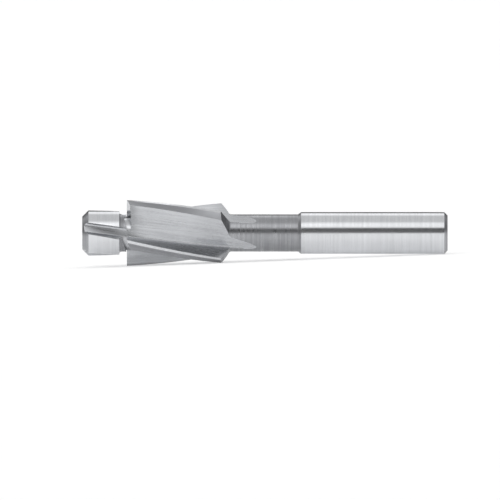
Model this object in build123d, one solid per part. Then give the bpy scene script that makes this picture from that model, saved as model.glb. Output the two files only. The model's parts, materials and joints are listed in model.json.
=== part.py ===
from build123d import *
import os
from math import atan2, cos, degrees, radians, sin, tan

# Straight-shank counterbore cutter for screw-head recesses, one piece of tool steel.
# From its front end: a fluted pilot that runs in the drilled hole, a short undercut,
# a head with right-hand helical teeth that cut on their front ends, a tapered back,
# a slimmer neck and a plain ground shank that the chuck grips.
# All sizes are in millimetres.

# Lengths along the tool's axis
total_length = 109.0
pilot_length = 13.3  # from the front face to the teeth, with the undercut
undercut_width = 2.2
head_length = 28.0
head_back_length = 2.7  # the taper behind the teeth
shank_length = 43.7
shank_step_length = 0.9  # the taper from the neck up to the shank

# Diameters
head_diameter = 20.0
pilot_diameter = 13.5
undercut_diameter = 11.6
neck_diameter = 11.1
shank_diameter = 12.5

# Chamfers and fillets
pilot_chamfer = 1.85
shank_chamfer = 1.0
undercut_fillet = 0.45  # on the pilot's side
head_back_fillet = 0.8

# Teeth and flutes
tooth_count = 4
helix_angle = 13.0  # degrees, on the head's outside
core_diameter = 10.2  # to the root of the flutes
root_fillet = 0.35
margin_width = 0.85  # ground to the head's full diameter
land_width = 3.05  # margin and cleared land together
land_clearance = 0.33  # how far the heel lies inside the full diameter

# Grooves that carry the flutes' roots through the pilot
groove_front_angle = 8.5  # degrees from the rake faces' plane to the groove's leading edge
groove_width = 2.75  # from the rake faces' plane to the groove's back wall
groove_back_fillet = 0.8
groove_climb_angle = 2.5  # degrees by which the groove gets shallower towards the front

# Front ends of the teeth
end_relief_angle = 17.0  # degrees
gash_width = 1.65
gash_floor_diameter = 9.4
gash_reach = 68.0  # degrees round the core from the cutting edge
gash_end_fillet = 0.8

# Run-out of the flutes in the neck
run_out_start = 44.0  # from the front face to where the flute starts to climb out
run_out_length = 9.0
run_out_angle = 4.3  # degrees

# The cutter lies on the front corner of one tooth, this far round from its underside,
# on the heel of the next tooth, and on the end of the shank.
resting_edge_angle = 10.3  # degrees

# How far the cutting tools reach past the steel that they remove
overcut = 3.0

head_radius = head_diameter / 2
pilot_radius = pilot_diameter / 2
neck_radius = neck_diameter / 2
shank_radius = shank_diameter / 2
core_radius = core_diameter / 2
tooth_pitch = 360 / tooth_count
outside_radius = head_radius + overcut
shank_start = total_length - shank_length
head_end = pilot_length + head_length


def helix_turn(length):
    """Degrees that the teeth turn over a length of the head."""
    return degrees(length * tan(radians(helix_angle)) / head_radius)


def polar(radius, angle):
    """A point across the axis, from its radius and its angle in degrees."""
    return (radius * cos(radians(angle)), radius * sin(radians(angle)))


def fillet_at(outline, radius, corner):
    """A flat outline with the corner nearest to a point rounded."""
    return fillet(outline.vertices().sort_by_distance(corner)[0], radius)


def turned_blank():
    """The turned body, before the flutes are milled: half its outline, spun round the axis."""
    undercut_radius = undercut_diameter / 2
    neck_start = head_end + head_back_length
    outline = Polyline(
        (0, 0),
        (pilot_radius - pilot_chamfer, 0),
        (pilot_radius, pilot_chamfer),
        (pilot_radius, pilot_length - undercut_width),
        (undercut_radius, pilot_length - undercut_width),
        (undercut_radius, pilot_length),
        (head_radius, pilot_length),
        (head_radius, head_end),
        (neck_radius, neck_start),
        (neck_radius, shank_start - shank_step_length),
        (shank_radius, shank_start),
        (shank_radius, total_length - shank_chamfer),
        (shank_radius - shank_chamfer, total_length),
        (0, total_length),
        close=True,
    )
    half = fillet_at(make_face(outline), head_back_fillet, (neck_radius, neck_start))
    half = fillet_at(half, undercut_fillet, (undercut_radius, pilot_length - undercut_width))
    return revolve(Plane.XZ * half, Axis.Z)


def heel_point():
    """The back corner of the tooth before, across the axis, with the next tooth's rake face along +X."""
    return polar(head_radius - land_clearance, degrees(land_width / head_radius) - tooth_pitch)


def flute_profile():
    """The space between two teeth across the axis. The next tooth's rake face lies along +X."""
    margin_end = degrees(margin_width / head_radius) - tooth_pitch
    outer_points = [polar(outside_radius, margin_end * share) for share in (0, 1 / 3, 2 / 3, 1)]
    outline = Polyline(
        polar(core_radius, 0),
        *outer_points,
        polar(head_radius, margin_end),
        heel_point(),
        close=True,
    )
    return fillet_at(make_face(outline), root_fillet, polar(core_radius, 0))


def along_floor():
    """The direction of a flute's floor across the axis, from the heel behind it to its root."""
    return (Vector(*polar(core_radius, 0)) - Vector(*heel_point())).normalized()


def groove_profile():
    """The groove in the pilot across the axis. It has the flute's own floor, and its back wall
    is parallel to the rake face."""
    root = Vector(*polar(core_radius, 0))
    floor_end = root - along_floor() * groove_width / along_floor().Y
    outline = Polyline(
        root,
        floor_end,
        (outside_radius, -groove_width),
        polar(outside_radius, groove_front_angle),
        polar(pilot_radius, groove_front_angle),
        close=True,
    )
    groove = fillet_at(make_face(outline), root_fillet, root)
    return fillet_at(groove, groove_back_fillet, floor_end)


def twisted_cutter(profile, start, end):
    """A profile of the flutes, set at its place on the helix and twisted along it."""
    section = Pos(0, 0, start) * Rot(0, 0, helix_turn(start - pilot_length)) * profile
    return Solid.extrude_linear_with_rotation(
        section.face(), (0, 0, start), (0, 0, end - start), helix_turn(end - start)
    )


def climbing(cutter, foot, climb):
    """A twisted cutter tilted about the flute's floor at its foot, so that it climbs out of the steel from there."""
    turn = helix_turn(foot - pilot_length)
    floor_line = Axis((*polar(core_radius, turn), foot), along_floor().rotate(Axis.Z, turn))
    return cutter.rotate(floor_line, climb)


def flute_cutter():
    """One flute from the front of the head to where it climbs out of the neck."""
    return twisted_cutter(flute_profile(), pilot_length, run_out_start)


def run_out_cutter():
    """The flute's last stretch, which climbs out of the neck."""
    run_out_end = run_out_start + run_out_length
    stretch = twisted_cutter(flute_profile(), run_out_start, run_out_end)
    return climbing(stretch, run_out_start, run_out_angle)


def groove_cutter():
    """The groove that carries one flute on through the undercut and the pilot."""
    stretch = twisted_cutter(groove_profile(), -overcut, pilot_length)
    pilot_side = Cylinder(outside_radius, 2 * pilot_length, align=(Align.CENTER, Align.CENTER, Align.MAX))
    return climbing(stretch, pilot_length, -groove_climb_angle) & Pos(0, 0, pilot_length) * pilot_side


def end_relief_cutter():
    """The wheel that backs off one tooth's front end, with its edge along +X, and gashes the core."""
    across = 2 * outside_radius
    wheel = Box(across, across, gash_width, align=(Align.CENTER, Align.CENTER, Align.MAX))
    tilted = Pos(0, 0, pilot_length) * Rot(end_relief_angle, 0, 0) * wheel
    swing = CenterArc((0, 0), across, 0, gash_reach)
    sector = make_face([Line((0, 0), swing @ 0), swing, Line(swing @ 1, (0, 0))])
    reach = extrude(sector, across / 2, both=True)
    core = Cylinder(gash_floor_diameter / 2, across)
    gash = tilted & Pos(0, 0, pilot_length) * (reach - core)
    end_normal = Vector(*polar(1, gash_reach + 90))
    end_face = gash.faces().sort_by(lambda face: face.normal_at().dot(end_normal))[-1]
    end_edges = end_face.edges().filter_by(GeomType.LINE).sort_by(SortBy.LENGTH)[-2:]
    return fillet(end_edges, gash_end_fillet)


def cutter_upright():
    """The finished cutter, standing on its pilot's front face with its axis on Z."""
    cutters = [flute_cutter(), run_out_cutter(), groove_cutter(), end_relief_cutter()]
    steel = turned_blank()
    for tooth in range(tooth_count):
        place = Rot(0, 0, resting_edge_angle + tooth * tooth_pitch)
        for cutter in cutters:
            steel -= place * cutter
    return steel


def laid_down(steel):
    """The cutter as it lies at rest: its axis along X with the shank's end lowest, its underside on Z = 0."""
    corner_depth = head_radius * cos(radians(resting_edge_angle))
    span = total_length - shank_chamfer - pilot_length
    dip = degrees(atan2(corner_depth - shank_radius, span))
    lying = Rot(0, 90 + dip, 0) * steel
    box = lying.bounding_box()
    return Pos(-box.center().X, -box.center().Y, -box.min.Z) * lying


counterbore_cutter = laid_down(cutter_upright())
counterbore_cutter.label = "counterbore_cutter"

os.makedirs("parts", exist_ok=True)
export_step(counterbore_cutter, "parts/counterbore_cutter.step")
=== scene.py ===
import json
from math import asin, ceil, cos, degrees, hypot, pi, radians, sin, tan

import bmesh
import bpy
from mathutils import Matrix, Vector


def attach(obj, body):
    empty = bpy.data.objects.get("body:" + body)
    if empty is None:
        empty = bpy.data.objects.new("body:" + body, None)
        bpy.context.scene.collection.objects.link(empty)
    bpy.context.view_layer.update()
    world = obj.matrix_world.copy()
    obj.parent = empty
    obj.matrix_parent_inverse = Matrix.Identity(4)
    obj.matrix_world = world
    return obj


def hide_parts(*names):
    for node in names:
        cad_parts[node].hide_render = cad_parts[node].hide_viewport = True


# Looks of the counterbore cutter: ground, milled and turned tool steel on a pale studio floor.
# The scene is in metres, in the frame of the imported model. The cutter's own sizes are in
# millimetres, as on its drawing. Its mesh is made standing on its pilot with its axis on Z,
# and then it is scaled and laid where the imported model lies.

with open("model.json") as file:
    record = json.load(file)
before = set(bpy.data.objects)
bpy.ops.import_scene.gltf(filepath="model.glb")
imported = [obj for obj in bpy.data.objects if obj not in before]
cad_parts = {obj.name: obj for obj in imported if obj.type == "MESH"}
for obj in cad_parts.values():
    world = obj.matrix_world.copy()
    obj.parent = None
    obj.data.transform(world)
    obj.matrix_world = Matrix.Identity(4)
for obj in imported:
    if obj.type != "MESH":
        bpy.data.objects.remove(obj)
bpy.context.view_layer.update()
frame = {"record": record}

MILLIMETRE = 0.001
MICROMETRE = 0.000001

# Lengths along the tool's axis
TOTAL_LENGTH = 109.0
PILOT_LENGTH = 13.3
UNDERCUT_WIDTH = 2.2
HEAD_LENGTH = 28.0
HEAD_BACK_LENGTH = 2.7
SHANK_LENGTH = 43.7
SHANK_STEP_LENGTH = 0.9
UNDERCUT_START = PILOT_LENGTH - UNDERCUT_WIDTH
HEAD_END = PILOT_LENGTH + HEAD_LENGTH
NECK_START = HEAD_END + HEAD_BACK_LENGTH
SHANK_START = TOTAL_LENGTH - SHANK_LENGTH

# Radii
HEAD_RADIUS = 10.0
PILOT_RADIUS = 6.75
UNDERCUT_RADIUS = 5.8
NECK_RADIUS = 5.55
SHANK_RADIUS = 6.25
CORE_RADIUS = 5.1

# Chamfers, fillets and the tiny breaks of the turned edges
PILOT_CHAMFER = 1.85
SHANK_CHAMFER = 1.0
UNDERCUT_FILLET = 0.45
HEAD_BACK_FILLET = 0.8
EDGE_BREAK = 0.06

# Teeth and flutes
TOOTH_COUNT = 4
HELIX_ANGLE = 13.0
ROOT_FILLET = 0.35
MARGIN_WIDTH = 0.85
LAND_WIDTH = 3.05
LAND_CLEARANCE = 0.33
TOOTH_PITCH = 360 / TOOTH_COUNT

# Grooves through the pilot
GROOVE_FRONT_ANGLE = 8.5
GROOVE_WIDTH = 2.75
GROOVE_BACK_FILLET = 0.8
GROOVE_CLIMB_ANGLE = 2.5

# Front ends of the teeth
END_RELIEF_ANGLE = 17.0
GASH_WIDTH = 1.65
GASH_FLOOR_RADIUS = 4.7
GASH_REACH = 68.0
GASH_END_FILLET = 0.8

# Run-out of the flutes in the neck
RUN_OUT_START = 44.0
RUN_OUT_LENGTH = 9.0
RUN_OUT_ANGLE = 4.3

# How far round from the tool's underside the first tooth's edge lies, in degrees
RESTING_EDGE_ANGLE = 10.3

# How far the cutting tools reach past the steel that they remove
OVERCUT = 3.0
OUTSIDE_RADIUS = HEAD_RADIUS + OVERCUT

# How finely the mesh follows the curves
ROUND_SEGMENTS = 256
FILLET_SEGMENTS = 6
GASH_STEPS = 20
STATION_SPACING = 0.5
FACE_SPACING = 1.0
# The cutting tools overlap by this much, so that no two of their faces coincide
HAIR = 0.01
WELD_DISTANCE = 0.001
SMOOTH_ANGLE = radians(20)

# Marks of machining and smudges on the steel
MARK_WIDTH = 0.7
MARK_LENGTH = 25.0
MARK_DETAIL = 5.0
MARK_ROUGHNESS = 0.7
RIDGE_DETAIL = 2.5
SMUDGE_SIZE = 9.0
SMUDGE_DETAIL = 3.0
# The smudges have this share of the marks' contrast
SMUDGE_SHARE = 0.5
# Most of the noise lies in this range
NOISE_RANGE = (0.3, 0.7)
# The steel gets lighter and darker than its own colour by up to this share
TONE_SPREAD = 0.25
# The roughness falls by this much for each unit of tone
TONE_POLISH = 0.35

# Painted shade in the corners: it grows as the open share of the surroundings falls from start to full
SHADE_REACH = 1.2
SHADE_START = 0.75
SHADE_FULL = 0.3
# The painted shade's dark colour, and the roughness that it adds in the corners
PAINTED_SHADE_COLOUR = (0.09, 0.085, 0.08, 1.0)
SHADE_ROUGHNESS = 0.2
SHADE_SAMPLES = 8

# Glint of the edges: it grows as the cosine between flat and rounded normal falls from start to full
GLINT_RADIUS = 0.12
GLINT_START = 0.995
GLINT_FULL = 0.9
GLINT_SHARE = 0.6
GLINT_COLOUR = (0.78, 0.79, 0.80, 1.0)
GLINT_SAMPLES = 6

# The gloss is stretched across the marks: its turn from the tangent round the axis, in whole turns
ALONG_TANGENT = 0.0
ACROSS_TANGENT = 0.25

# The tool's axis as it lies, from the shank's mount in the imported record
shank_mount = next(mount for mount in frame["record"]["mounts"] if mount["name"] == "shank")
AXIS = Vector(shank_mount["axis"]).normalized()
AXIS_DIP = asin(-AXIS.z)
SHANK_MIDDLE = TOTAL_LENGTH - SHANK_CHAMFER - shank_mount["dims"]["length_mm"] / 2
FRONT_CENTRE = Vector(shank_mount["pos_m"]) - AXIS * SHANK_MIDDLE * MILLIMETRE
LYING_ANGLE = pi / 2 + AXIS_DIP

# The studio's light strips: degrees up from the front horizon and over to the back, and grey
STUDIO_STRIPS = (
    (0, 0.35),
    (8, 0.15),
    (28, 0.12),
    (34, 1.2),
    (58, 1.2),
    (66, 0.75),
    (112, 0.75),
    (119, 1.25),
    (140, 1.25),
    (146, 0.12),
    (172, 0.2),
    (180, 0.55),
)
# The strips fade where a direction's sideways part is between these, to this share of their light
STRIP_FADE_START = 0.55
STRIP_FADE_END = 0.95
STRIP_END_LIGHT = 0.35
# How far above the horizon the white backdrop reaches
BACKDROP_HEIGHT = radians(1.2)
WHITE = (1.0, 1.0, 1.0, 1.0)

# The softbox, in metres and as the grey that it shows in a mirror
KEY_PLACE = (-0.18, -0.36, 0.37)
KEY_WIDTH = 0.36
KEY_HEIGHT = 0.22
KEY_BRIGHTNESS = 0.8

# The floor, in metres, and the white that it adds where it is seen, so that only the shadow stands out
FLOOR_RADIUS = 8.0
FLOOR_SIDES = 96
FLOOR_COLOUR = (0.88, 0.88, 0.88, 1.0)
FLOOR_GLOW = 0.36

# The drawing's view, in pixels of the 500 by 500 picture
PICTURE_PIXELS = 500.0
DRAWN_FRONT_X = 82.2
DRAWN_SHANK_END_X = 447.6
DRAWN_AXIS_Y = 233.0

# The camera looks down by this angle, from this far away, and sees this far, in metres
CAMERA_ELEVATION = radians(1.8)
CAMERA_DISTANCE = 3.0
CAMERA_REACH = 20.0


def helix_turn(length):
    """Degrees that the teeth turn over a length of the head."""
    return degrees(length * tan(radians(HELIX_ANGLE)) / HEAD_RADIUS)


def polar(radius, angle):
    """A point across the axis, from its radius and its angle in degrees."""
    return Vector((radius * cos(radians(angle)), radius * sin(radians(angle))))


def rounded_corner(before, corner, after, radius):
    """Points of the arc that rounds a corner between two straight lines."""
    back = (before - corner).normalized()
    ahead = (after - corner).normalized()
    half = back.angle(ahead) / 2
    centre = corner + (back + ahead).normalized() * radius / sin(half)
    start = corner + back * radius / tan(half) - centre
    end = corner + ahead * radius / tan(half) - centre
    sweep = start.angle_signed(end)
    turns = [sweep * step / FILLET_SEGMENTS for step in range(FILLET_SEGMENTS + 1)]
    return [centre + Matrix.Rotation(-turn, 2) @ start for turn in turns]


def subdivided(start, end):
    """Points between two points, about FACE_SPACING apart, without the end."""
    count = max(1, ceil((end - start).length / FACE_SPACING))
    return [start.lerp(end, step / count) for step in range(count)]


def stations(start, end):
    """Heights from start to end, about STATION_SPACING apart."""
    count = max(1, ceil((end - start) / STATION_SPACING))
    return [start + (end - start) * step / count for step in range(count + 1)]


def finish_index(finish):
    """A finish's place among the materials of a mesh."""
    return list(FINISHES).index(finish)


def solid(name, points, faces, face_finishes):
    """A closed mesh object whose faces carry their finishes."""
    mesh = bpy.data.meshes.new(name)
    mesh.from_pydata([tuple(point) for point in points], [], faces)
    for material in FINISHES.values():
        mesh.materials.append(material)
    mesh.polygons.foreach_set("material_index", [finish_index(finish) for finish in face_finishes])
    work = bmesh.new()
    work.from_mesh(mesh)
    bmesh.ops.recalc_face_normals(work, faces=work.faces)
    work.to_mesh(mesh)
    work.free()
    made = bpy.data.objects.new(name, mesh)
    bpy.context.scene.collection.objects.link(made)
    return made


def turned_outline():
    """Half the outline of the turned body, as corners: finish up to it, radius, height and rounding."""
    return [
        ("faced", 0, 0, 0),
        ("faced", PILOT_RADIUS - PILOT_CHAMFER, 0, EDGE_BREAK),
        ("turned", PILOT_RADIUS, PILOT_CHAMFER, EDGE_BREAK),
        ("ground", PILOT_RADIUS, UNDERCUT_START, EDGE_BREAK),
        ("turned", UNDERCUT_RADIUS, UNDERCUT_START, UNDERCUT_FILLET),
        ("turned", UNDERCUT_RADIUS, PILOT_LENGTH, 0),
        ("turned", HEAD_RADIUS, PILOT_LENGTH, 0),
        ("ground", HEAD_RADIUS, HEAD_END, 0),
        ("turned", NECK_RADIUS, NECK_START, HEAD_BACK_FILLET),
        ("turned", NECK_RADIUS, SHANK_START - SHANK_STEP_LENGTH, 0),
        ("turned", SHANK_RADIUS, SHANK_START, EDGE_BREAK),
        ("ground", SHANK_RADIUS, TOTAL_LENGTH - SHANK_CHAMFER, EDGE_BREAK),
        ("turned", SHANK_RADIUS - SHANK_CHAMFER, TOTAL_LENGTH, EDGE_BREAK),
        ("faced", 0, TOTAL_LENGTH, 0),
    ]


def turned_points():
    """The points of that outline with its corners rounded, each with the finish up to it."""
    corners = turned_outline()
    points = []
    for place, (finish, radius, height, rounding) in enumerate(corners):
        corner = Vector((radius, height))
        if not rounding:
            points.append((finish, corner))
            continue
        before = Vector(corners[place - 1][1:3])
        after = Vector(corners[place + 1][1:3])
        points += [(finish, point) for point in rounded_corner(before, corner, after, rounding)]
    return points


def turned_blank():
    """The turned body, spun round the axis."""
    outline = turned_points()
    points = []
    rings = []
    for _, (radius, height) in outline:
        start = len(points)
        count = ROUND_SEGMENTS if radius else 1
        points += [(*polar(radius, 360 * step / count), height) for step in range(count)]
        rings.append([start + step % count for step in range(ROUND_SEGMENTS + 1)])
    faces = []
    face_finishes = []
    for lower, upper, (finish, _) in zip(rings, rings[1:], outline[1:]):
        for step in range(ROUND_SEGMENTS):
            corners = [lower[step], lower[step + 1], upper[step + 1], upper[step]]
            faces.append(list(dict.fromkeys(corners)))
            face_finishes.append(finish)
    return solid("blank", points, faces, face_finishes)


def lofted_ring(name, sections, edge_finishes):
    """One closed tool for each tooth, through sections with equally many points."""
    size = len(sections[0])
    points = []
    faces = []
    face_finishes = []
    for tooth in range(TOOTH_COUNT):
        place = Matrix.Rotation(radians(RESTING_EDGE_ANGLE + tooth * TOOTH_PITCH), 4, "Z")
        first = len(points)
        for section in sections:
            points += [place @ point for point in section]
        for row in range(len(sections) - 1):
            for column in range(size):
                near = first + row * size
                along = (column + 1) % size
                faces.append([near + column, near + along, near + size + along, near + size + column])
                face_finishes.append(edge_finishes[column])
        last = len(points) - size
        faces.append(list(range(first, first + size)))
        faces.append(list(range(last, last + size)))
        face_finishes += [edge_finishes[0]] * 2
    return solid(name, points, faces, face_finishes)


def heel_point():
    """The back corner of the tooth before, with the next tooth's rake face along +X."""
    return polar(HEAD_RADIUS - LAND_CLEARANCE, degrees(LAND_WIDTH / HEAD_RADIUS) - TOOTH_PITCH)


def along_floor():
    """The direction of a flute's floor across the axis, from the heel behind it to its root."""
    return (polar(CORE_RADIUS, 0) - heel_point()).normalized()


def flute_profile():
    """The space between two teeth across the axis, as points and the finish after each."""
    root = polar(CORE_RADIUS, 0)
    heel = heel_point()
    margin_end = degrees(MARGIN_WIDTH / HEAD_RADIUS) - TOOTH_PITCH
    far_points = [polar(OUTSIDE_RADIUS, margin_end * share) for share in (0, 1 / 3, 2 / 3, 1)]
    margin_corner = polar(HEAD_RADIUS, margin_end)
    root_arc = rounded_corner(heel, root, far_points[0], ROOT_FILLET)
    rake = subdivided(root_arc[-1], far_points[0])
    clearance = subdivided(margin_corner, heel)
    floor = subdivided(heel, root_arc[0])
    points = rake + far_points + clearance + floor + root_arc[:-1]
    finishes = ["flute"] * (len(rake) + len(far_points))
    finishes += ["land"] * len(clearance)
    finishes += ["flute"] * (len(floor) + len(root_arc) - 1)
    return points, finishes


def groove_profile():
    """The groove in the pilot across the axis, as points and the finish after each."""
    root = polar(CORE_RADIUS, 0)
    floor_end = root - along_floor() * GROOVE_WIDTH / along_floor().y
    back = Vector((OUTSIDE_RADIUS, -GROOVE_WIDTH))
    front_outer = polar(OUTSIDE_RADIUS, GROOVE_FRONT_ANGLE)
    front_edge = polar(PILOT_RADIUS, GROOVE_FRONT_ANGLE)
    root_arc = rounded_corner(floor_end, root, front_edge, ROOT_FILLET)
    back_arc = rounded_corner(back, floor_end, root, GROOVE_BACK_FILLET)
    points = root_arc + [front_edge, front_outer, back] + back_arc
    return points, ["flute"] * len(points)


def twisted_section(profile, height, tilt=None):
    """A profile at its place on the helix, as points in space."""
    turn = Matrix.Rotation(radians(helix_turn(height - PILOT_LENGTH)), 4, "Z")
    section = [turn @ Vector((*point, height)) for point in profile]
    return section if tilt is None else [tilt @ point for point in section]


def climbing(foot, climb):
    """The tilt about the flute's floor at its foot, by which a cutting tool leaves the steel."""
    turn = helix_turn(foot - PILOT_LENGTH)
    pivot = Matrix.Translation((*polar(CORE_RADIUS, turn), foot))
    direction = Matrix.Rotation(radians(turn), 3, "Z") @ along_floor().to_3d()
    return pivot @ Matrix.Rotation(radians(climb), 4, direction) @ pivot.inverted()


def flute_tools():
    """The flutes, from the front of the head to where they have climbed out of the neck.

    The tilt swings the run-out's outer points back, so its first section lies past the last
    straight one by more than that swing.
    """
    profile, finishes = flute_profile()
    straight_stations = stations(PILOT_LENGTH - HAIR, RUN_OUT_START)
    sections = [twisted_section(profile, height) for height in straight_stations]
    tilt = climbing(RUN_OUT_START, RUN_OUT_ANGLE)
    swing = (OUTSIDE_RADIUS - CORE_RADIUS) * sin(radians(RUN_OUT_ANGLE))
    for height in stations(RUN_OUT_START + swing + HAIR, RUN_OUT_START + RUN_OUT_LENGTH):
        sections.append(twisted_section(profile, height, tilt))
    return lofted_ring("flutes", sections, finishes)


def groove_tools():
    """The grooves that carry the flutes on through the undercut and the pilot, and end at the head."""
    profile, finishes = groove_profile()
    tilt = climbing(PILOT_LENGTH, -GROOVE_CLIMB_ANGLE)
    sections = [twisted_section(profile, height, tilt) for height in stations(-OVERCUT, PILOT_LENGTH)]
    cut_off = []
    for before, after in zip(sections[-2], sections[-1]):
        share = (PILOT_LENGTH - before.z) / (after.z - before.z)
        cut_off.append(before.lerp(after, share))
    return lofted_ring("grooves", sections[:-1] + [cut_off], finishes)


def gash_angles(left):
    """Angles of the gash's floor and outside where its wheel is so many millimetres short of its end."""
    return [GASH_REACH - degrees(asin(left / radius)) for radius in (GASH_FLOOR_RADIUS, OUTSIDE_RADIUS)]


def gash_section(angles, inset):
    """A section of the wheel at the angles of its floor and outside, with both its faces drawn in."""
    floor = polar(GASH_FLOOR_RADIUS, angles[0])
    outside = polar(OUTSIDE_RADIUS, angles[1])
    far_side = GASH_WIDTH - inset
    section = []
    for across, depth in ((floor, inset), (outside, inset), (outside, far_side), (floor, far_side)):
        rise = across.y * tan(radians(END_RELIEF_ANGLE))
        drop = depth / cos(radians(END_RELIEF_ANGLE))
        section.append(Vector((*across, PILOT_LENGTH + HAIR + rise - drop)))
    return section


def gash_tools():
    """The wheels that back off the teeth's front ends and gash the core, with a rounded end."""
    starts = [-degrees(asin(HAIR / radius)) for radius in (GASH_FLOOR_RADIUS, OUTSIDE_RADIUS)]
    ends = gash_angles(GASH_END_FILLET)
    sections = []
    for step in range(GASH_STEPS + 1):
        angles = [start + (end - start) * step / GASH_STEPS for start, end in zip(starts, ends)]
        sections.append(gash_section(angles, 0))
    for step in range(1, FILLET_SEGMENTS + 1):
        turn = pi / 2 * step / FILLET_SEGMENTS
        left = GASH_END_FILLET * (1 - sin(turn))
        inset = GASH_END_FILLET * (1 - cos(turn))
        sections.append(gash_section(gash_angles(left), inset))
    return lofted_ring("gashes", sections, ["gash"] * 4)


def weld(mesh):
    """Joins the points that lie closer than WELD_DISTANCE, which the cuts leave where edges cross."""
    work = bmesh.new()
    work.from_mesh(mesh)
    bmesh.ops.remove_doubles(work, verts=work.verts, dist=WELD_DISTANCE)
    bmesh.ops.dissolve_degenerate(work, dist=WELD_DISTANCE, edges=work.edges)
    work.to_mesh(mesh)
    work.free()


def mark_sharp_edges(mesh):
    """Makes the faces smooth, apart from edges between two finishes or past SMOOTH_ANGLE."""
    mesh.polygons.foreach_set("use_smooth", [True] * len(mesh.polygons))
    work = bmesh.new()
    work.from_mesh(mesh)
    for edge in work.edges:
        finishes = {face.material_index for face in edge.link_faces}
        edge.smooth = len(finishes) == 1 and edge.calc_face_angle(pi) < SMOOTH_ANGLE
    work.to_mesh(mesh)
    work.free()


def true_round_normal(place, normal):
    """A normal turned to point straight away from the axis on Z, or along it."""
    radius = hypot(place.x, place.y)
    if radius < HAIR * MILLIMETRE:
        return Vector((0, 0, normal.z)).normalized()
    outwards = (normal.x * place.x + normal.y * place.y) / radius
    level = hypot(normal.x, normal.y) * (1 if outwards > 0 else -1) / radius
    return Vector((place.x * level, place.y * level, normal.z))


def corner_normals(mesh):
    """The normal at each corner of the standing mesh: on turned faces, that of the true round."""
    round_finishes = {finish_index(finish) for finish in ("ground", "turned", "faced")}
    normals = [corner.vector.copy() for corner in mesh.corner_normals]
    for face in mesh.polygons:
        if face.material_index not in round_finishes:
            continue
        for loop in face.loop_indices:
            place = mesh.vertices[mesh.loops[loop].vertex_index].co
            normals[loop] = true_round_normal(place, normals[loop])
    return normals


def cut_blank():
    """The mesh of the turned blank with grooves, flutes and gashes cut out of it, in millimetres."""
    blank = turned_blank()
    tools = [groove_tools(), flute_tools(), gash_tools()]
    for tool in tools:
        cut = blank.modifiers.new(tool.name, "BOOLEAN")
        cut.operation = "DIFFERENCE"
        cut.solver = "EXACT"
        cut.material_mode = "INDEX"
        cut.object = tool
    bpy.context.view_layer.update()
    evaluated = blank.evaluated_get(bpy.context.evaluated_depsgraph_get())
    mesh = bpy.data.meshes.new_from_object(evaluated)
    for used in [blank, *tools]:
        bpy.data.objects.remove(used)
    weld(mesh)
    return mesh


def counterbore_cutter():
    """The cutter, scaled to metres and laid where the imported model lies."""
    mesh = cut_blank()
    mesh.name = "cutter"
    mesh.transform(Matrix.Scale(MILLIMETRE, 4))
    mark_sharp_edges(mesh)
    normals = corner_normals(mesh)
    laid_down = Matrix.Rotation(LYING_ANGLE, 4, "Y")
    mesh.transform(Matrix.Translation(FRONT_CENTRE) @ laid_down)
    mesh.normals_split_custom_set([laid_down @ normal for normal in normals])
    cutter = bpy.data.objects.new("cutter", mesh)
    bpy.context.scene.collection.objects.link(cutter)
    return cutter


def add_node(tree, kind, inputs=None, **settings):
    """A node with its settings. Each input is a value or another node's output."""
    node = tree.nodes.new(kind)
    for name, value in settings.items():
        setattr(node, name, value)
    for name, value in (inputs or {}).items():
        if isinstance(value, bpy.types.NodeSocket):
            tree.links.new(value, node.inputs[name])
        else:
            node.inputs[name].default_value = value
    return node


def math_node(tree, operation, *values):
    """The output of a Math node."""
    return add_node(tree, "ShaderNodeMath", dict(enumerate(values)), operation=operation).outputs[0]


def vector_node(tree, operation, *values):
    """The output of a Vector Math node."""
    node = add_node(tree, "ShaderNodeVectorMath", dict(enumerate(values)), operation=operation)
    return node.outputs["Value" if operation in ("LENGTH", "DOT_PRODUCT") else "Vector"]


def noise(tree, place, detail, roughness=0.5):
    """Noise from 0 to 1, whose largest features are one unit of the place across."""
    inputs = {"Vector": place, "Scale": 1.0, "Detail": detail, "Roughness": roughness}
    return add_node(tree, "ShaderNodeTexNoise", inputs).outputs["Fac"]


def ranged(tree, value, low, high, new_low, new_high):
    """A value moved from one range to another, and kept inside it."""
    inputs = {"Value": value, "From Min": low, "From Max": high, "To Min": new_low, "To Max": new_high}
    return add_node(tree, "ShaderNodeMapRange", inputs).outputs[0]


def mixed(tree, share, first, second):
    """Two colours mixed."""
    node = tree.nodes.new("ShaderNodeMix")
    node.data_type = "RGBA"
    for name, value in {"Factor": share, "A": first, "B": second}.items():
        socket = next(socket for socket in node.inputs if socket.name == name and socket.enabled)
        if isinstance(value, bpy.types.NodeSocket):
            tree.links.new(value, socket)
        else:
            socket.default_value = value
    return next(output for output in node.outputs if output.enabled)


def tool_place(tree):
    """Places on the standing tool, with the axis on Z, in millimetres."""
    inputs = {
        "Vector": add_node(tree, "ShaderNodeTexCoord").outputs["Object"],
        "Location": FRONT_CENTRE,
        "Rotation": (0.0, LYING_ANGLE, 0.0),
        "Scale": (MILLIMETRE, MILLIMETRE, MILLIMETRE),
    }
    return add_node(tree, "ShaderNodeMapping", inputs, vector_type="TEXTURE").outputs[0]


def marks_round(tree, place):
    """Places stretched round the axis, for the marks of grinding and turning."""
    return vector_node(tree, "MULTIPLY", place, (1 / MARK_LENGTH, 1 / MARK_LENGTH, 1 / MARK_WIDTH))


def marks_along(tree, place):
    """Places stretched along the helix, for the marks of fluting."""
    height = add_node(tree, "ShaderNodeSeparateXYZ", {"Vector": place}).outputs["Z"]
    turn = math_node(tree, "MULTIPLY", height, -radians(helix_turn(1)))
    inputs = {"Vector": place, "Angle": turn}
    untwisted = add_node(tree, "ShaderNodeVectorRotate", inputs, rotation_type="Z_AXIS").outputs[0]
    return vector_node(tree, "MULTIPLY", untwisted, (1 / MARK_WIDTH, 1 / MARK_WIDTH, 1 / MARK_LENGTH))


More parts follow.
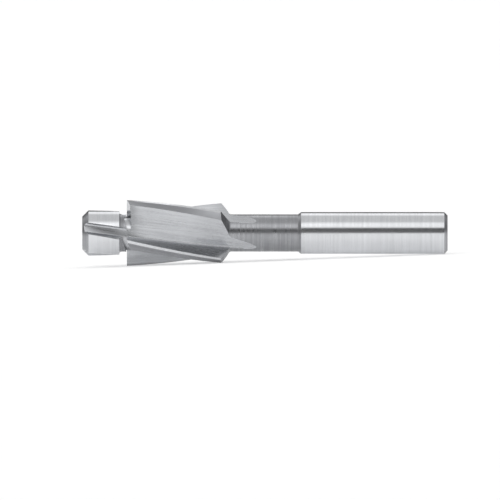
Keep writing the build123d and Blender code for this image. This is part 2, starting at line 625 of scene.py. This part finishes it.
def marks_concentric(tree, place):
    """Places stretched into circles round the axis, for the marks of facing."""
    across = vector_node(tree, "MULTIPLY", place, (1.0, 1.0, 0.0))
    radius = math_node(tree, "DIVIDE", vector_node(tree, "LENGTH", across), MARK_WIDTH)
    outwards = add_node(tree, "ShaderNodeCombineXYZ", {"Z": radius}).outputs[0]
    around = vector_node(tree, "MULTIPLY", place, (1 / MARK_LENGTH, 1 / MARK_LENGTH, 0.0))
    return vector_node(tree, "ADD", around, outwards)


def machined_tone(tree, place, marked_place, contrast):
    """How far the marks and the smudges make the steel lighter, or darker below 0."""
    streaks = noise(tree, marked_place, MARK_DETAIL, MARK_ROUGHNESS)
    smudges = noise(tree, vector_node(tree, "MULTIPLY", place, (1 / SMUDGE_SIZE,) * 3), SMUDGE_DETAIL)
    smudge_contrast = contrast * SMUDGE_SHARE
    streak_tone = ranged(tree, streaks, *NOISE_RANGE, -contrast, contrast)
    smudge_tone = ranged(tree, smudges, *NOISE_RANGE, -smudge_contrast, smudge_contrast)
    return math_node(tree, "ADD", streak_tone, smudge_tone)


def toned_colour(tree, colour, tone):
    """A colour that is darkest at a tone of -0.5 and lightest at 0.5."""
    darkest = tuple(channel * (1 - TONE_SPREAD) for channel in colour)
    lightest = tuple(channel * (1 + TONE_SPREAD) for channel in colour)
    return mixed(tree, math_node(tree, "ADD", tone, 0.5), (*darkest, 1.0), (*lightest, 1.0))


def edge_glint(tree, rounded):
    """From 0 on flat steel to 1 on an edge, where the rounded normal leaves the flat one."""
    flat = add_node(tree, "ShaderNodeNewGeometry").outputs["Normal"]
    alike = vector_node(tree, "DOT_PRODUCT", rounded, flat)
    return ranged(tree, alike, GLINT_START, GLINT_FULL, 0.0, 1.0)


def painted_corner_shade(tree, shade_share):
    """Painted shade: from 0 in the open to the finish's own share in a corner."""
    inputs = {"Distance": SHADE_REACH * MILLIMETRE}
    open_share = add_node(tree, "ShaderNodeAmbientOcclusion", inputs, samples=SHADE_SAMPLES).outputs["AO"]
    corner_shade = ranged(tree, open_share, SHADE_START, SHADE_FULL, 0.0, 1.0)
    return math_node(tree, "MULTIPLY", corner_shade, shade_share)


def round_tangent(tree):
    """The direction round the axis, by which the stretched gloss is laid."""
    place = add_node(tree, "ShaderNodeTexCoord").outputs["Object"]
    from_front = vector_node(tree, "SUBTRACT", place, FRONT_CENTRE)
    inputs = {"Vector": vector_node(tree, "CROSS_PRODUCT", AXIS, from_front)}
    spaces = {"convert_from": "OBJECT", "convert_to": "WORLD"}
    return add_node(tree, "ShaderNodeVectorTransform", inputs, **spaces).outputs[0]


def steel(name, colour, roughness, marks, anisotropy, contrast, depth, shade_share=0.0):
    """Bare tool steel with the marks of its machining, brighter edges and a little painted shade in its
    corners.

    marks says how the marks run. contrast is how far they change the colour and the roughness,
    and depth is their depth in micrometres. The last argument is the share of painted shade in a corner.
    """
    material = bpy.data.materials.new(name)
    material.use_nodes = True
    tree = material.node_tree
    surface = tree.nodes["Principled BSDF"]
    surface.inputs["Metallic"].default_value = 1.0
    place = tool_place(tree)
    marked_place = marks(tree, place)
    inputs = {"Radius": GLINT_RADIUS * MILLIMETRE}
    rounded = add_node(tree, "ShaderNodeBevel", inputs, samples=GLINT_SAMPLES).outputs[0]
    tone = machined_tone(tree, place, marked_place, contrast)
    # Painted shade in the corners, where little of the surroundings is open: it darkens the colour
    corner_shade = painted_corner_shade(tree, shade_share)

    shaded_colour = mixed(tree, corner_shade, toned_colour(tree, colour, tone), PAINTED_SHADE_COLOUR)
    glint = math_node(tree, "MULTIPLY", edge_glint(tree, rounded), GLINT_SHARE)
    tree.links.new(mixed(tree, glint, shaded_colour, GLINT_COLOUR), surface.inputs["Base Color"])

    polished = math_node(tree, "MULTIPLY_ADD", tone, -TONE_POLISH, roughness)
    dulled = math_node(tree, "MULTIPLY_ADD", corner_shade, SHADE_ROUGHNESS, polished)
    tree.links.new(dulled, surface.inputs["Roughness"])

    inputs = {
        "Height": noise(tree, marked_place, RIDGE_DETAIL),
        "Normal": rounded,
        "Distance": depth * MICROMETRE,
        "Strength": 1.0,
    }
    tree.links.new(add_node(tree, "ShaderNodeBump", inputs).outputs[0], surface.inputs["Normal"])

    tree.links.new(round_tangent(tree), surface.inputs["Tangent"])
    surface.inputs["Anisotropic"].default_value = anisotropy
    turn = ALONG_TANGENT if marks is marks_along else ACROSS_TANGENT
    surface.inputs["Anisotropic Rotation"].default_value = turn
    return material


def add_camera():
    """A camera with parallel rays, as in the drawing. It rolls a little, so that the axis is level."""
    metres_per_pixel = TOTAL_LENGTH * MILLIMETRE / (DRAWN_SHANK_END_X - DRAWN_FRONT_X)
    forward = Vector((0.0, cos(CAMERA_ELEVATION), -sin(CAMERA_ELEVATION)))
    right = (AXIS - AXIS.dot(forward) * forward).normalized()
    up = right.cross(forward)
    centre = (
        FRONT_CENTRE
        + right * (PICTURE_PIXELS / 2 - DRAWN_FRONT_X) * metres_per_pixel
        - up * (PICTURE_PIXELS / 2 - DRAWN_AXIS_Y) * metres_per_pixel
    )
    data = bpy.data.cameras.new("camera")
    data.type = "ORTHO"
    data.ortho_scale = PICTURE_PIXELS * metres_per_pixel
    data.clip_end = CAMERA_REACH
    camera = bpy.data.objects.new("camera", data)
    bpy.context.scene.collection.objects.link(camera)
    turn = Matrix((right, up, -forward)).transposed().to_4x4()
    camera.matrix_world = Matrix.Translation(centre - forward * CAMERA_DISTANCE) @ turn
    bpy.context.scene.camera = camera


def strip_light(tree, direction):
    """The light of the studio's strips, by how far over the cutter a direction lies."""
    from_front = math_node(tree, "MULTIPLY", direction["Y"], -1.0)
    angle = math_node(tree, "ARCTAN2", direction["Z"], from_front)
    ramp = add_node(tree, "ShaderNodeValToRGB", {"Fac": math_node(tree, "DIVIDE", angle, pi)})
    elements = ramp.color_ramp.elements
    for height, _ in STUDIO_STRIPS[1:-1]:
        elements.new(height / 180)
    for element, (_, grey) in zip(elements, STUDIO_STRIPS):
        element.color = (grey, grey, grey, 1.0)
    return ramp.outputs["Color"]


def add_world():
    """A studio with long light strips in front of, above and behind the cutter, along its length.

    It gets darker towards the ends of the strips. Below its lowest strip is the white backdrop.
    """
    world = bpy.data.worlds.new("studio")
    bpy.context.scene.world = world
    world.use_nodes = True
    tree = world.node_tree
    background = tree.nodes["Background"]
    place = add_node(tree, "ShaderNodeTexCoord").outputs["Generated"]
    direction = add_node(tree, "ShaderNodeSeparateXYZ", {"Vector": place}).outputs
    sideways = math_node(tree, "ABSOLUTE", direction["X"])
    fading = ranged(tree, sideways, STRIP_FADE_START, STRIP_FADE_END, 1.0, STRIP_END_LIGHT)
    inputs = {"Vector": strip_light(tree, direction), "Scale": fading}
    strips = add_node(tree, "ShaderNodeVectorMath", inputs, operation="SCALE").outputs[0]
    backdrop = math_node(tree, "LESS_THAN", direction["Z"], sin(BACKDROP_HEIGHT))
    tree.links.new(mixed(tree, backdrop, strips, WHITE), background.inputs["Color"])
    background.inputs["Strength"].default_value = 1.0


def add_key_lamp():
    """A softbox up in front of the head, so that its light falls off towards the shank's end."""
    data = bpy.data.lights.new("key_lamp", "AREA")
    data.shape = "RECTANGLE"
    data.size = KEY_WIDTH
    data.size_y = KEY_HEIGHT
    data.energy = KEY_BRIGHTNESS * pi * KEY_WIDTH * KEY_HEIGHT
    lamp = bpy.data.objects.new("key_lamp", data)
    bpy.context.scene.collection.objects.link(lamp)
    lamp.location = KEY_PLACE
    lamp.rotation_mode = "QUATERNION"
    lamp.rotation_quaternion = (-Vector(KEY_PLACE)).to_track_quat("-Z", "Y")


def pale_floor():
    """Pale paper. Seen straight, in a reflection or through glass, it is white with the shadow on it."""
    material = bpy.data.materials.new("pale_floor")
    material.use_nodes = True
    tree = material.node_tree
    tree.nodes.clear()
    ray = add_node(tree, "ShaderNodeLightPath").outputs
    seen = math_node(tree, "MAXIMUM", ray["Is Camera Ray"], ray["Is Glossy Ray"])
    seen = math_node(tree, "MAXIMUM", seen, ray["Is Transmission Ray"])
    diffuse = add_node(tree, "ShaderNodeBsdfDiffuse", {"Color": FLOOR_COLOUR})
    glow_strength = math_node(tree, "MULTIPLY", seen, FLOOR_GLOW)
    glow = add_node(tree, "ShaderNodeEmission", {"Strength": glow_strength})
    both = add_node(tree, "ShaderNodeAddShader", {0: diffuse.outputs[0], 1: glow.outputs[0]})
    add_node(tree, "ShaderNodeOutputMaterial", {"Surface": both.outputs[0]})
    return material


def add_floor():
    """A round floor, so wide that its edge is out of view."""
    points = [(*polar(FLOOR_RADIUS, 360 * side / FLOOR_SIDES), 0.0) for side in range(FLOOR_SIDES)]
    mesh = bpy.data.meshes.new("floor")
    mesh.from_pydata(points, [], [tuple(range(FLOOR_SIDES))])
    mesh.materials.append(pale_floor())
    floor = bpy.data.objects.new("floor", mesh)
    bpy.context.scene.collection.objects.link(floor)


# The finishes of the steel, by the way in which the faces were machined
FINISHES = {
    "ground": steel(
        "ground_steel",
        colour=(0.66, 0.67, 0.69),
        roughness=0.20,
        marks=marks_round,
        anisotropy=0.5,
        contrast=0.14,
        depth=1.0,
    ),
    "turned": steel(
        "turned_steel",
        colour=(0.33, 0.335, 0.35),
        roughness=0.34,
        marks=marks_round,
        anisotropy=0.4,
        contrast=0.3,
        depth=3.0,
        shade_share=0.5,
    ),
    "faced": steel(
        "faced_steel",
        colour=(0.56, 0.57, 0.59),
        roughness=0.28,
        marks=marks_concentric,
        anisotropy=0.5,
        contrast=0.2,
        depth=4.0,
    ),
    "flute": steel(
        "milled_steel",
        colour=(0.52, 0.53, 0.55),
        roughness=0.26,
        marks=marks_along,
        anisotropy=0.5,
        contrast=0.25,
        depth=3.0,
        shade_share=0.8,
    ),
    "land": steel(
        "land_steel",
        colour=(0.30, 0.305, 0.32),
        roughness=0.32,
        marks=marks_along,
        anisotropy=0.4,
        contrast=0.25,
        depth=3.0,
        shade_share=0.3,
    ),
    "gash": steel(
        "gashed_steel",
        colour=(0.60, 0.61, 0.63),
        roughness=0.24,
        marks=marks_concentric,
        anisotropy=0.4,
        contrast=0.15,
        depth=2.0,
        shade_share=0.6,
    ),
}

add_camera()
add_world()
add_key_lamp()
add_floor()

cutter = counterbore_cutter()
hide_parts("counterbore_cutter")
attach(cutter, "root")

bpy.context.scene.view_settings.view_transform = "Standard"
